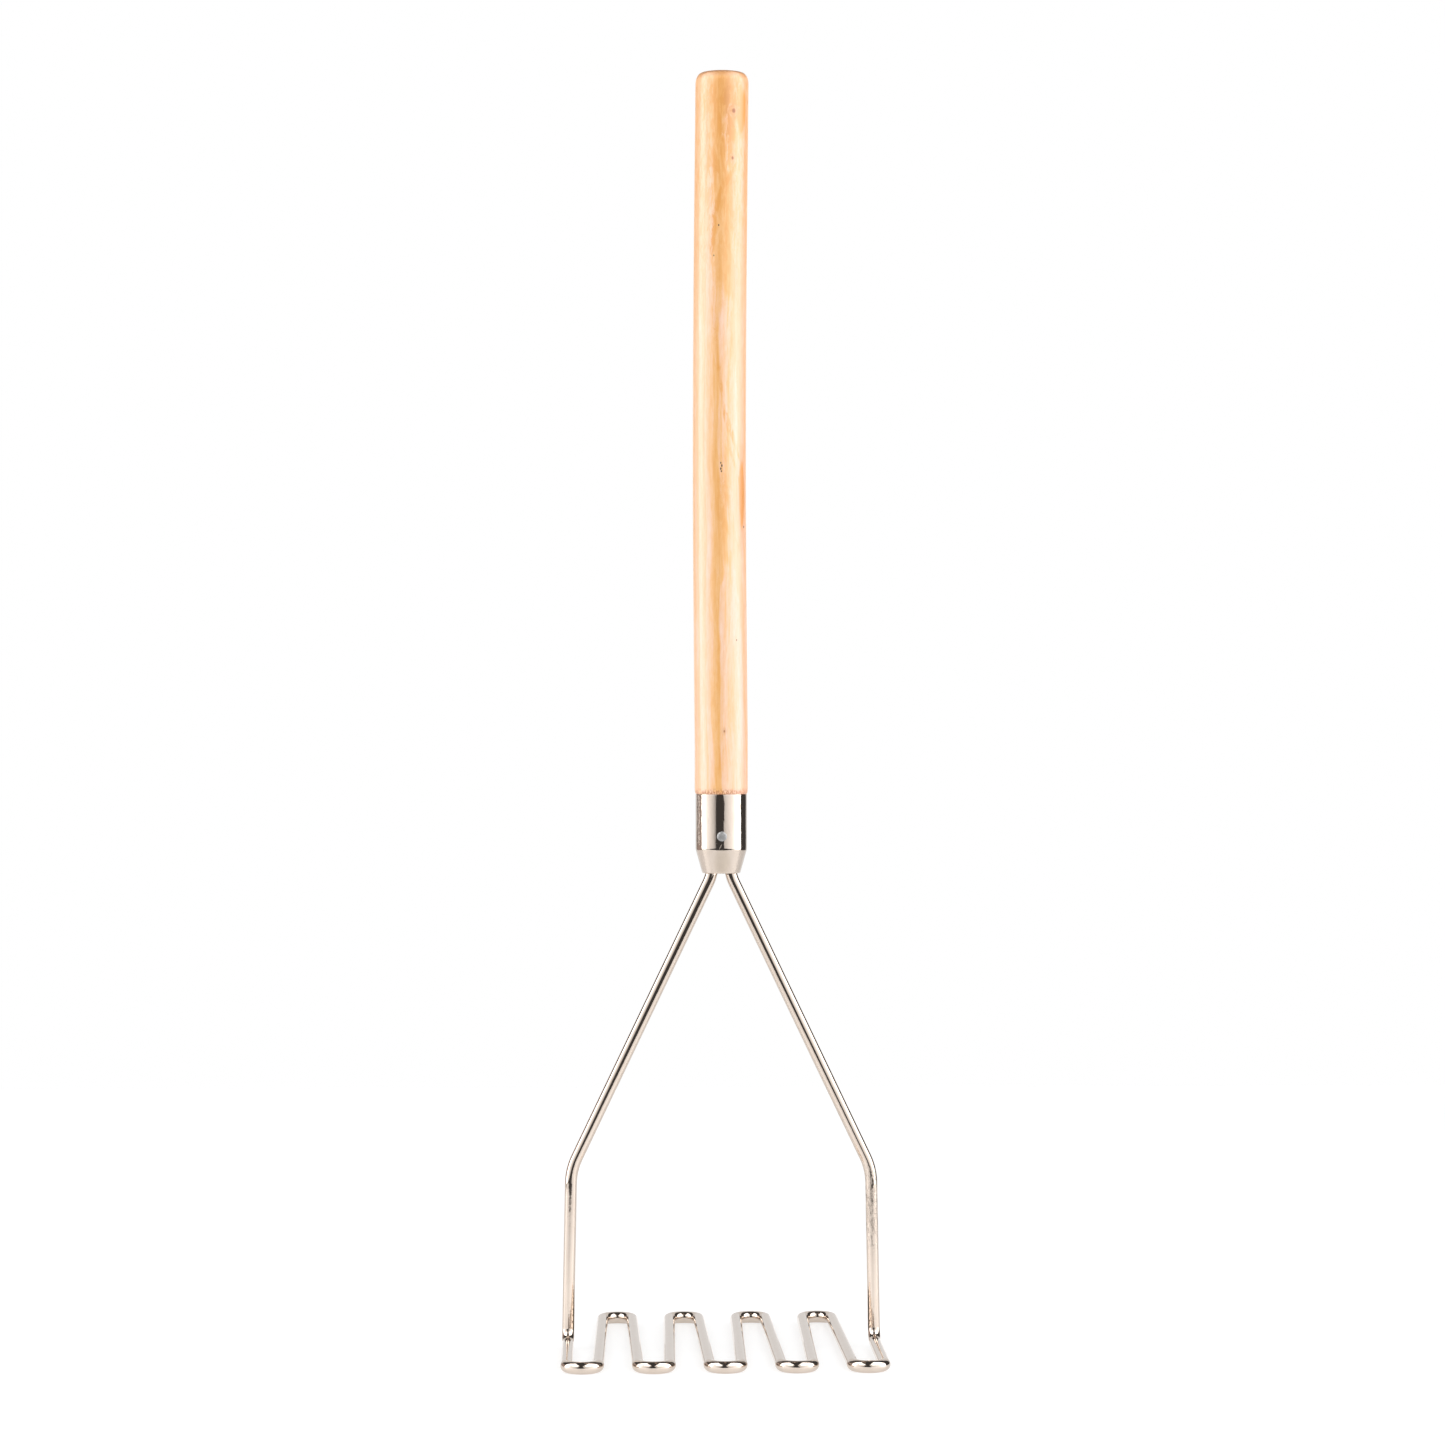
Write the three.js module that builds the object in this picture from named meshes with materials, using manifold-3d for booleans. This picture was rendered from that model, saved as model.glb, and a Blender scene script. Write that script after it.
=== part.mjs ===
// Long-handled potato masher with a square face of bent wire.
// Millimetres, +Z up. The origin is on the surface that the face rests on, under the handle's axis.
// -Y is the front, where the face has its larger number of loops.
//
// Four separate pieces make it up: a turned wooden handle, a drawn steel ferrule, one long bent wire
// whose two ends stand in sockets in the handle, and a rivet that passes between those two ends.

import * as THREE from 'three';
import { mergeVertices } from 'three/addons/utils/BufferGeometryUtils.js';
import Module from 'manifold-3d';

// Whole object
const OVERALL_HEIGHT = 609.6;
const FACE_SIZE = 152.4;
const GAP = 0.3;

// Wire: the face, and the two stems that carry it
const WIRE_DIAMETER = 5.8;
const FRONT_LOOPS = 5;
const LOOP_RADIUS = 7.2;
const FOOT_RADIUS = 7;
const SHOULDER_X = 71.8;
const SHOULDER_Z = 85.2;
const SHOULDER_SETBACK = 6.5;
const NECK_Z = 226.2;
const NECK_SETBACK = 4.1;
const TAIL_X = 4.4;
const TAIL_TOP_Z = 275;

// Ferrule: a sleeve that ends in a cone
const FERRULE_DIAMETER = 24.6;
const FERRULE_TOP_Z = 264.8;
const FERRULE_BOTTOM_Z = 227;
const FERRULE_WALL = 0.8;
const CONE_TOP_Z = 238.5;
const CONE_HALF_ANGLE = THREE.MathUtils.degToRad(15.8);
const LIP_ROUNDING = 0.4;

// Handle: a round rod with a tenon that fills the ferrule
const HANDLE_DIAMETER = 25.4;
const HANDLE_END_ROUNDING_ACROSS = 3;
const HANDLE_END_ROUNDING_ALONG = 5.2;
const HANDLE_SHOULDER_TAPER = 0.6;
const HANDLE_SHOULDER_HEIGHT = 3;
const TENON_BOTTOM_Z = 231;
const SOCKET_DIAMETER = 6.6;
const SOCKET_TOP_Z = 276;

// Rivet: front to back through the ferrule and the tenon
const RIVET_Z = 244.8;
const RIVET_SHANK_DIAMETER = 2.3;
const RIVET_HEAD_DIAMETER = 4.8;
const RIVET_HEAD_HEIGHT = 1;
const RIVET_TAIL_DIAMETER = 4.4;
const RIVET_TAIL_HEIGHT = 0.8;

// How finely the round surfaces are divided
const WIRE_SIDES = 16;
const BEND_STEP = THREE.MathUtils.degToRad(18);
const TURNED_SIDES = 32;
const SOCKET_SIDES = 24;
const RIVET_SIDES = 16;
const EDGE_POINTS = 4;

const wasm = await Module();
wasm.setup();

const wood = () => new THREE.MeshStandardMaterial({ color: 0xe9c08c, roughness: 0.4, metalness: 0 });
const plating = () => new THREE.MeshStandardMaterial({ color: 0xd4cbc1, roughness: 0.12, metalness: 1 });
const rivetSteel = () => new THREE.MeshStandardMaterial({ color: 0xa9a9a8, roughness: 0.45, metalness: 1 });

// ---- Cutting one solid with another ----

function toSolid(geometry) {
  const bare = geometry.clone();
  bare.deleteAttribute('normal');
  bare.deleteAttribute('uv');
  const merged = mergeVertices(bare, 1e-4);
  const vertProperties = new Float32Array(merged.attributes.position.array);
  const triVerts = new Uint32Array(merged.index.array);
  return new wasm.Manifold(new wasm.Mesh({ numProp: 3, vertProperties, triVerts }));
}

function toGeometry(solid) {
  const { vertProperties, triVerts } = solid.getMesh();
  const geometry = new THREE.BufferGeometry();
  geometry.setAttribute('position', new THREE.BufferAttribute(vertProperties, 3));
  geometry.setIndex(new THREE.BufferAttribute(triVerts, 1));
  geometry.computeVertexNormals();
  return geometry;
}

function cut(geometry, tools) {
  const left = tools.reduce((solid, tool) => solid.subtract(toSolid(tool)), toSolid(geometry));
  return toGeometry(left);
}

// ---- Round shapes about the Z axis, and holes ----

function turned(profile, sides) {
  const geometry = new THREE.LatheGeometry(profile, sides);
  geometry.rotateX(Math.PI / 2);
  return geometry;
}

// A quarter of an ellipse about (radius, height), from one angle to another, as profile points.
function roundedEdge(radius, height, acrossRadius, alongRadius, fromAngle, toAngle) {
  const curve = new THREE.EllipseCurve(
    radius, height, acrossRadius, alongRadius, fromAngle, toAngle, toAngle < fromAngle);
  return curve.getPoints(EDGE_POINTS);
}

function socket(x) {
  const bottom = TENON_BOTTOM_Z - 1;
  const length = SOCKET_TOP_Z - bottom;
  const hole = new THREE.CylinderGeometry(SOCKET_DIAMETER / 2, SOCKET_DIAMETER / 2, length, SOCKET_SIDES);
  hole.rotateX(Math.PI / 2);
  hole.translate(x, 0, bottom + length / 2);
  return hole;
}

function rivetHole() {
  const radius = RIVET_SHANK_DIAMETER / 2 + GAP;
  const hole = new THREE.CylinderGeometry(radius, radius, 2 * FERRULE_DIAMETER, RIVET_SIDES);
  hole.translate(0, 0, RIVET_Z);
  return hole;
}

// ---- Handle ----

function coneRadius(z) {
  return FERRULE_DIAMETER / 2 - (CONE_TOP_Z - z) * Math.tan(CONE_HALF_ANGLE);
}

function handle() {
  const radius = HANDLE_DIAMETER / 2;
  const clearance = FERRULE_WALL + GAP;
  const coneClearance = clearance / Math.cos(CONE_HALF_ANGLE);
  const tenonRadius = FERRULE_DIAMETER / 2 - clearance;
  const taperTopZ = CONE_TOP_Z - (coneClearance - clearance) / Math.tan(CONE_HALF_ANGLE);
  const shoulderZ = FERRULE_TOP_Z + GAP;
  const profile = [
    new THREE.Vector2(0, TENON_BOTTOM_Z),
    new THREE.Vector2(coneRadius(TENON_BOTTOM_Z) - coneClearance, TENON_BOTTOM_Z),
    new THREE.Vector2(tenonRadius, taperTopZ),
    new THREE.Vector2(tenonRadius, shoulderZ),
    ...roundedEdge(
      radius - HANDLE_SHOULDER_TAPER, shoulderZ + HANDLE_SHOULDER_HEIGHT,
      HANDLE_SHOULDER_TAPER, HANDLE_SHOULDER_HEIGHT, -Math.PI / 2, 0),
    ...roundedEdge(
      radius - HANDLE_END_ROUNDING_ACROSS, OVERALL_HEIGHT - HANDLE_END_ROUNDING_ALONG,
      HANDLE_END_ROUNDING_ACROSS, HANDLE_END_ROUNDING_ALONG, 0, Math.PI / 2),
    new THREE.Vector2(0, OVERALL_HEIGHT),
  ];
  return cut(turned(profile, TURNED_SIDES), [socket(-TAIL_X), socket(TAIL_X), rivetHole()]);
}

// ---- Ferrule ----

function ferrule() {
  const radius = FERRULE_DIAMETER / 2;
  const coneWall = FERRULE_WALL / Math.cos(CONE_HALF_ANGLE);
  const innerConeTopZ = CONE_TOP_Z - (coneWall - FERRULE_WALL) / Math.tan(CONE_HALF_ANGLE);
  const lipRadius = coneRadius(FERRULE_BOTTOM_Z + LIP_ROUNDING);
  const innerLipRadius = coneRadius(FERRULE_BOTTOM_Z) - coneWall;
  const profile = [
    new THREE.Vector2(innerLipRadius, FERRULE_BOTTOM_Z),
    new THREE.Vector2(lipRadius - LIP_ROUNDING, FERRULE_BOTTOM_Z),
    new THREE.Vector2(lipRadius, FERRULE_BOTTOM_Z + LIP_ROUNDING),
    new THREE.Vector2(radius, CONE_TOP_Z),
    new THREE.Vector2(radius, FERRULE_TOP_Z),
    new THREE.Vector2(radius - FERRULE_WALL, FERRULE_TOP_Z),
    new THREE.Vector2(radius - FERRULE_WALL, innerConeTopZ),
    new THREE.Vector2(innerLipRadius, FERRULE_BOTTOM_Z),
  ];
  return cut(turned(profile, TURNED_SIDES), [rivetHole()]);
}

// ---- Wire ----

// A path of straight runs joined by round bends. Its stations stand only where a bend needs them, so the
// path's parameter counts stations and not length.
class BentPath extends THREE.Curve {
  constructor(corners) {
    super();
    this.stations = [];
    corners.forEach((corner, index) => this.addBend(corner, corners[index - 1], corners[index + 1]));
  }

  addStation(point, tangent) {
    const last = this.stations.at(-1);
    if (!last || last.point.distanceTo(point) > 1e-6) this.stations.push({ point, tangent });
  }

  // A corner's setback is how far before it the bend begins, and how far after it the bend ends.
  addBend({ point, setback }, before, after) {
    const incoming = before && point.clone().sub(before.point).normalize();
    const outgoing = after && after.point.clone().sub(point).normalize();
    if (!incoming || !outgoing) {
      this.addStation(point, incoming || outgoing);
      return;
    }
    const turn = incoming.angleTo(outgoing);
    const radius = setback / Math.tan(turn / 2);
    const start = point.clone().addScaledVector(incoming, -setback);
    const inward = outgoing.clone().addScaledVector(incoming, -Math.cos(turn)).normalize();
    const steps = Math.ceil(turn / BEND_STEP);
    for (let step = 0; step <= steps; step += 1) {
      const angle = (turn * step) / steps;
      const along = incoming.clone().multiplyScalar(radius * Math.sin(angle));
      const across = inward.clone().multiplyScalar(radius * (1 - Math.cos(angle)));
      const tangent = incoming.clone().multiplyScalar(Math.cos(angle)).addScaledVector(inward, Math.sin(angle));
      this.addStation(start.clone().add(along).add(across), tangent);
    }
  }

  nearest(t) {
    return this.stations[Math.round(t * (this.stations.length - 1))];
  }

  getUtoTmapping(u) {
    return u;
  }

  getPoint(t, target = new THREE.Vector3()) {
    return target.copy(this.nearest(t).point);
  }

  getTangent(t, target = new THREE.Vector3()) {
    return target.copy(this.nearest(t).tangent);
  }
}

function corner(x, y, z, setback = 0) {
  return { point: new THREE.Vector3(x, y, z), setback };
}

// One side's stem, from its hidden end in the handle down to the foot where the face begins.
function stemCorners(side, reach) {
  return [
    corner(side * TAIL_X, 0, TAIL_TOP_Z),
    corner(side * TAIL_X, 0, NECK_Z, NECK_SETBACK),
    corner(side * SHOULDER_X, 0, SHOULDER_Z, SHOULDER_SETBACK),
    corner(side * reach, 0, WIRE_DIAMETER / 2, FOOT_RADIUS),
  ];
}

// The zigzag: front loops at -reach, and back loops at +reach between them.
function faceCorners(reach) {
  const pitch = (2 * (reach - LOOP_RADIUS)) / (FRONT_LOOPS - 1);
  const corners = [];
  for (let half = 0; half < 2 * FRONT_LOOPS - 1; half += 1) {
    const x = LOOP_RADIUS - reach + (half * pitch) / 2;
    const y = half % 2 === 0 ? -reach : reach;
    corners.push(corner(x - LOOP_RADIUS, y, WIRE_DIAMETER / 2, LOOP_RADIUS));
    corners.push(corner(x + LOOP_RADIUS, y, WIRE_DIAMETER / 2, LOOP_RADIUS));
  }
  return corners;
}

// The wire's section, rolled so that one of its flats lies on the floor all along the face.
function wireSection(roll) {
  const circumradius = WIRE_DIAMETER / 2 / Math.cos(Math.PI / WIRE_SIDES);
  const points = [];
  for (let side = 0; side < WIRE_SIDES; side += 1) {
    const angle = ((side + 0.5) * 2 * Math.PI) / WIRE_SIDES + roll;
    points.push(new THREE.Vector2(circumradius * Math.cos(angle), circumradius * Math.sin(angle)));
  }
  return new THREE.Shape(points);
}

function wireHead() {
  const reach = (FACE_SIZE - WIRE_DIAMETER) / 2;
  const splay = Math.atan2(reach - SHOULDER_X, SHOULDER_Z - WIRE_DIAMETER / 2);
  const path = new BentPath([
    ...stemCorners(-1, reach),
    ...faceCorners(reach),
    ...stemCorners(1, reach).reverse(),
  ]);
  return new THREE.ExtrudeGeometry(wireSection(splay), {
    steps: path.stations.length - 1,
    bevelEnabled: false,
    extrudePath: path,
  });
}

// ---- Rivet ----

function rivet() {
  const shank = RIVET_SHANK_DIAMETER / 2;
  const seat = FERRULE_DIAMETER / 2 + GAP;
  const profile = [
    new THREE.Vector2(0, -seat - RIVET_HEAD_HEIGHT),
    ...roundedEdge(0, -seat, RIVET_HEAD_DIAMETER / 2, RIVET_HEAD_HEIGHT, -Math.PI / 2, 0).slice(1),
    new THREE.Vector2(shank, -seat),
    new THREE.Vector2(shank, seat),
    ...roundedEdge(0, seat, RIVET_TAIL_DIAMETER / 2, RIVET_TAIL_HEIGHT, 0, Math.PI / 2).slice(0, -1),
    new THREE.Vector2(0, seat + RIVET_TAIL_HEIGHT),
  ];
  return new THREE.LatheGeometry(profile, RIVET_SIDES);
}

// ---- Assembly ----

function piece(name, geometry, material) {
  const mesh = new THREE.Mesh(geometry, material);
  mesh.name = name;
  return mesh;
}

const masher = new THREE.Group();
const rivetPiece = piece('rivet', rivet(), rivetSteel());
rivetPiece.position.z = RIVET_Z;
masher.add(
  piece('handle', handle(), wood()),
  piece('ferrule', ferrule(), plating()),
  piece('wire_head', wireHead(), plating()),
  rivetPiece,
);

export default masher;
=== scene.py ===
"""A potato masher: a turned wooden handle, a plated ferrule and a square face bent from one thick wire.

Metres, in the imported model's frame: +Z up, the origin on the floor under the handle's axis, -Y the front.
"""

import math

import bmesh
import bpy
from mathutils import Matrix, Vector


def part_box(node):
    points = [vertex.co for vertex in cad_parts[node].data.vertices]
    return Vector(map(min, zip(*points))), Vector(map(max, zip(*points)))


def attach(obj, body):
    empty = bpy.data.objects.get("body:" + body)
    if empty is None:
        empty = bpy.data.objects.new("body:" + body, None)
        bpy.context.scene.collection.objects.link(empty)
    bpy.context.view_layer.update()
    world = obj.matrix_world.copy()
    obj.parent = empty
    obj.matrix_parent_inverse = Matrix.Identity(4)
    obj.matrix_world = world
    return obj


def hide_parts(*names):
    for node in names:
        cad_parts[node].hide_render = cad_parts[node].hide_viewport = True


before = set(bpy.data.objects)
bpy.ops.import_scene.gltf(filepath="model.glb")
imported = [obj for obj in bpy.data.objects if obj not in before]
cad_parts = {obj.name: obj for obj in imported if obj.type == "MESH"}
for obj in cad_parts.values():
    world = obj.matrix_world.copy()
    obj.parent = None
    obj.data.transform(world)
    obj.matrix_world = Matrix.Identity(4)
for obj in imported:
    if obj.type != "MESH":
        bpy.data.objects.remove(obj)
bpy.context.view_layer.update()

# Wire: its path is the CAD model's, on the box that the frame gives
WIRE_RADIUS = 0.0029
FRONT_LOOPS = 5
LOOP_RADIUS = 0.0072
FOOT_RADIUS = 0.007
SHOULDER_X = 0.0718
SHOULDER_Z = 0.0852
SHOULDER_SETBACK = 0.0065
NECK_Z = 0.2262
NECK_SETBACK = 0.0041
TAIL_X = 0.0044
WIRE_SIDES = 40
BEND_STEP = math.radians(4)
STRAIGHT_STEP = 0.004
TAIL_CHAMFER = 0.0004

# Ferrule
FERRULE_WALL = 0.0008
CONE_HEIGHT = 0.0115
CONE_HALF_ANGLE = math.radians(15.8)
CONE_FILLET = 0.006
FERRULE_EDGE = 0.00025
FERRULE_LIP = 0.00055
FERRULE_SIDES = 160
FERRULE_ROW = 0.0007

# Handle
END_ROUNDING_ACROSS = 0.003
END_ROUNDING_ALONG = 0.0052
SHOULDER_TAPER = 0.0006
SHOULDER_HEIGHT = 0.003
SHOULDER_GAP = 0.00005
TENON_CLEARANCE = 0.0003
SOCKET_RADIUS = 0.0030
SOCKET_OVERRUN = 0.001
HANDLE_SIDES = 96
HANDLE_ROW = 0.005
BOW = 0.0009
BOW_START_Z = 0.29
BOW_HALF_WAVE = 0.28

# Rivet
RIVET_HOLE_RADIUS = 0.00125
RIVET_SHANK_RADIUS = 0.00115
RIVET_HEAD_HEIGHT = 0.0009
RIVET_TAIL_SHARE = 0.92
RIVET_TAIL_HEIGHT = 0.0007
RIVET_SEAT_DEPTH = 0.0002
RIVET_SIDES = 48

# All pieces: a sharper edge than this is not shaded smooth
SHARP_ANGLE = math.radians(35)

# Camera and studio
CAMERA_DISTANCE = 1.80
CAMERA_HEIGHT = 0.299
CAMERA_YAW = math.radians(1.74)
CAMERA_LENS_MM = 93.7
CAMERA_ASIDE = 0.0006
ROOM_COLOUR = (0.064, 0.062, 0.061, 1)
PAPER_WHITE = (1, 1, 1, 1)
HIGH_LIGHT = 1.5
LEFT_BACK_LIGHT = 0.42
LEFT_BACK_COLOUR = (1, 0.78, 0.7)
BACK_LIGHT = 0.77
FLOOR_FRONT = -0.54
FLOOR_BACK = 1.28
FLOOR_SIDE = 0.85
FLOOR_ALBEDO = 0.3
FLOOR_ROUGHNESS = 0.4
FLOOR_GLOW = 0.63

# The floor glows more close in front of the tool, and far behind it, where it would else show as a grey band.
# Each pair is where the extra glow begins and where it is full.
FLOOR_NEAR_GLOW = 0.26
FLOOR_NEAR_REACH = (0.45, 0.15)
FLOOR_NEAR_FRONT = (-0.05, -0.11)
FLOOR_FAR_GLOW = 0.07
FLOOR_FAR_BACK = (0.3, 0.75)


# ---- Node helpers ----

def set_ramp(ramp, stops):
    """Gives a colour ramp its stops, as (place, colour) pairs in rising order."""
    elements = ramp.color_ramp.elements
    while len(elements) < len(stops):
        elements.new(1.0)
    for element, (place, colour) in zip(elements, stops):
        element.position = place
        element.color = (*colour, 1)


class Graph:
    """One material's nodes. Its sums take sockets and plain numbers alike."""

    def __init__(self, name):
        self.material = bpy.data.materials.new(name)
        self.material.use_nodes = True
        self.tree = self.material.node_tree
        self.shader = self.tree.nodes["Principled BSDF"]

    def put(self, socket, value):
        if isinstance(value, bpy.types.NodeSocket):
            self.tree.links.new(value, socket)
        elif isinstance(value, tuple) and len(value) == 3 and socket.type == "RGBA":
            socket.default_value = (*value, 1)
        else:
            socket.default_value = value

    def set(self, **values):
        for name, value in values.items():
            self.put(self.shader.inputs[name.replace("_", " ")], value)

    def math(self, operation, *values):
        node = self.tree.nodes.new("ShaderNodeMath")
        node.operation = operation
        for socket, value in zip(node.inputs, values):
            self.put(socket, value)
        return node.outputs[0]

    def add(self, first, *others):
        for other in others:
            first = self.math("ADD", first, other)
        return first

    def sub(self, first, second):
        return self.math("SUBTRACT", first, second)

    def mul(self, first, *others):
        for other in others:
            first = self.math("MULTIPLY", first, other)
        return first

    def total(self, *parts):
        """The sum of its parts. Each is a value, or a (value, weight) pair."""
        return self.add(*[self.mul(*part) if isinstance(part, tuple) else part for part in parts])

    def most(self, first, *others):
        for other in others:
            first = self.math("MAXIMUM", first, other)
        return first

    def at_most_one(self, value):
        return self.math("MINIMUM", value, 1.0)

    def position(self):
        return self.tree.nodes.new("ShaderNodeTexCoord").outputs["Object"]

    def millimetres(self):
        return self.scaled(self.position(), (1000, 1000, 1000))

    def attribute(self, name):
        node = self.tree.nodes.new("ShaderNodeAttribute")
        node.attribute_name = name
        return self.scaled(node.outputs["Vector"], (1000, 1000, 1000))

    def scaled(self, vector, factors):
        node = self.tree.nodes.new("ShaderNodeVectorMath")
        node.operation = "MULTIPLY"
        self.put(node.inputs[0], vector)
        self.put(node.inputs[1], factors)
        return node.outputs[0]

    def split(self, vector):
        node = self.tree.nodes.new("ShaderNodeSeparateXYZ")
        self.put(node.inputs[0], vector)
        return node.outputs[0], node.outputs[1], node.outputs[2]

    def join(self, x, y, z):
        node = self.tree.nodes.new("ShaderNodeCombineXYZ")
        for socket, value in zip(node.inputs, (x, y, z)):
            self.put(socket, value)
        return node.outputs[0]

    def noise(self, vector, detail, roughness=0.5, distortion=0.0):
        node = self.tree.nodes.new("ShaderNodeTexNoise")
        self.put(node.inputs["Vector"], vector)
        node.inputs["Scale"].default_value = 1.0
        node.inputs["Detail"].default_value = detail
        node.inputs["Roughness"].default_value = roughness
        node.inputs["Distortion"].default_value = distortion
        return node.outputs["Fac"]

    def cells(self, vector):
        node = self.tree.nodes.new("ShaderNodeTexVoronoi")
        self.put(node.inputs["Vector"], vector)
        node.inputs["Scale"].default_value = 1.0
        return node.outputs["Distance"]

    def smooth(self, value, low, high):
        """0 at low and below, 1 at high and above, and a soft step between. High may be less than low."""
        node = self.tree.nodes.new("ShaderNodeMapRange")
        node.interpolation_type = "SMOOTHSTEP"
        self.put(node.inputs["Value"], value)
        node.inputs["From Min"].default_value = min(low, high)
        node.inputs["From Max"].default_value = max(low, high)
        node.inputs["To Min"].default_value = 0.0 if low < high else 1.0
        node.inputs["To Max"].default_value = 1.0 if low < high else 0.0
        return node.outputs["Result"]

    def ramp(self, value, stops):
        node = self.tree.nodes.new("ShaderNodeValToRGB")
        set_ramp(node, stops)
        self.put(node.inputs["Fac"], value)
        return node.outputs["Color"]

    def mix(self, factor, first, second):
        node = self.tree.nodes.new("ShaderNodeMix")
        node.data_type = "RGBA"
        self.put(node.inputs[0], factor)
        self.put(node.inputs[6], first)
        self.put(node.inputs[7], second)
        return node.outputs[2]

    def bump(self, height, distance, strength):
        node = self.tree.nodes.new("ShaderNodeBump")
        self.put(node.inputs["Height"], height)
        node.inputs["Distance"].default_value = distance
        node.inputs["Strength"].default_value = strength
        return node.outputs["Normal"]

    def around(self, x, y, radius):
        """Distance round a turned surface from its front line."""
        return self.mul(self.math("ARCTAN2", x, self.mul(y, -1)), radius)

    def spot(self, across, up, place, size, lean=0.0):
        """1 at a place on the surface, and 0 outside an oval about it that has this size and lean."""
        from_up = self.sub(up, place[1])
        from_across = self.sub(across, place[0])
        if lean:
            from_across = self.sub(from_across, self.mul(from_up, lean))
        wide = self.math("POWER", self.mul(from_across, 1 / size[0]), 2.0)
        high = self.math("POWER", self.mul(from_up, 1 / size[1]), 2.0)
        return self.smooth(self.add(wide, high), 1.0, 0.0)

    def spots(self, across, up, places):
        return self.most(*[self.spot(across, up, *place) for place in places])


# ---- Stage ----

def make_camera():
    data = bpy.data.cameras.new("camera")
    data.lens = CAMERA_LENS_MM
    camera = bpy.data.objects.new("camera", data)
    away = Vector((-math.sin(CAMERA_YAW), -math.cos(CAMERA_YAW), 0))
    camera.location = away * CAMERA_DISTANCE + Vector((CAMERA_ASIDE, 0, CAMERA_HEIGHT))
    camera.rotation_euler = (math.pi / 2, 0, -CAMERA_YAW)
    bpy.context.scene.collection.objects.link(camera)
    bpy.context.scene.camera = camera


def make_world():
    """The camera sees white paper all round. Everything else sees a dark room."""
    world = bpy.data.worlds.new("studio")
    bpy.context.scene.world = world
    world.use_nodes = True
    tree = world.node_tree
    tree.nodes.clear()
    output = tree.nodes.new("ShaderNodeOutputWorld")
    mix = tree.nodes.new("ShaderNodeMixShader")
    room = tree.nodes.new("ShaderNodeBackground")
    paper = tree.nodes.new("ShaderNodeBackground")
    path = tree.nodes.new("ShaderNodeLightPath")
    room.inputs["Color"].default_value = ROOM_COLOUR
    paper.inputs["Color"].default_value = PAPER_WHITE
    tree.links.new(path.outputs["Is Camera Ray"], mix.inputs["Fac"])
    tree.links.new(room.outputs[0], mix.inputs[1])
    tree.links.new(paper.outputs[0], mix.inputs[2])
    tree.links.new(mix.outputs[0], output.inputs["Surface"])


def make_panel(name, centre, facing, size, levels, colour=(1, 1, 1)):
    """A soft light panel. Its levels are (place along its width, radiance) pairs, in rising order."""
    width, height = size
    peak = max(level for _, level in levels)
    data = bpy.data.lights.new(name, "AREA")
    data.shape = "RECTANGLE"
    data.size = width
    data.size_y = height
    data.color = colour
    data.energy = math.pi * peak * width * height
    data.use_nodes = True
    tree = data.node_tree
    place = tree.nodes.new("ShaderNodeNewGeometry")
    split = tree.nodes.new("ShaderNodeSeparateXYZ")
    ramp = tree.nodes.new("ShaderNodeValToRGB")
    set_ramp(ramp, [(at, (level / peak,) * 3) for at, level in levels])
    tree.links.new(place.outputs["Parametric"], split.inputs[0])
    tree.links.new(split.outputs["X"], ramp.inputs["Fac"])
    tree.links.new(ramp.outputs["Color"], tree.nodes["Emission"].inputs["Color"])
    panel = bpy.data.objects.new(name, data)
    panel.location = centre
    panel.rotation_euler = Vector(facing).to_track_quat("-Z", "Y").to_euler()
    panel.visible_camera = False
    bpy.context.scene.collection.objects.link(panel)


def even(level):
    """The levels of a panel that is equally bright all over."""
    return [(0, level), (1, level)]


def make_panels():
    left = [(0.0, 3.4), (0.14, 3.8), (0.2, 1.9), (0.26, 1.45), (0.35, 1.25), (0.45, 1.07), (0.6, 0.83),
            (0.8, 0.5), (0.95, 0.25), (1.0, 0.1)]
    right = [(0.0, 0.7), (0.2, 0.8), (0.4, 1.0), (0.5, 1.13), (0.6, 1.28), (0.7, 1.48), (0.78, 1.9),
             (0.85, 3.2), (1.0, 3.2)]
    high = even(HIGH_LIGHT)
    left_back = even(LEFT_BACK_LIGHT)

    # Name, centre, direction that it faces, size, levels
    make_panel("panel_left", (-0.85, -1.06, 0.85), (1, 0, -0.3), (2.5, 1.8), left)
    make_panel("panel_right", (0.545, -1.185, 0.85), (-0.99, 0.15, -0.3), (2.66, 1.8), right)
    make_panel("panel_left_high", (-1.0, -1.1, 1.45), (1.0, 1.1, -1.0), (1.0, 0.9), high)
    make_panel("panel_right_high", (0.9, -1.2, 1.45), (-0.9, 1.2, -1.0), (1.0, 0.9), high)
    make_panel("panel_left_back", (-1.0, 0.62, 0.2), (1, -0.5, 0), (0.7, 0.5), left_back, LEFT_BACK_COLOUR)
    make_panel("backdrop", (0, 1.3, 0.6), (0, -1, 0), (1.9, 1.3), even(BACK_LIGHT))


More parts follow.
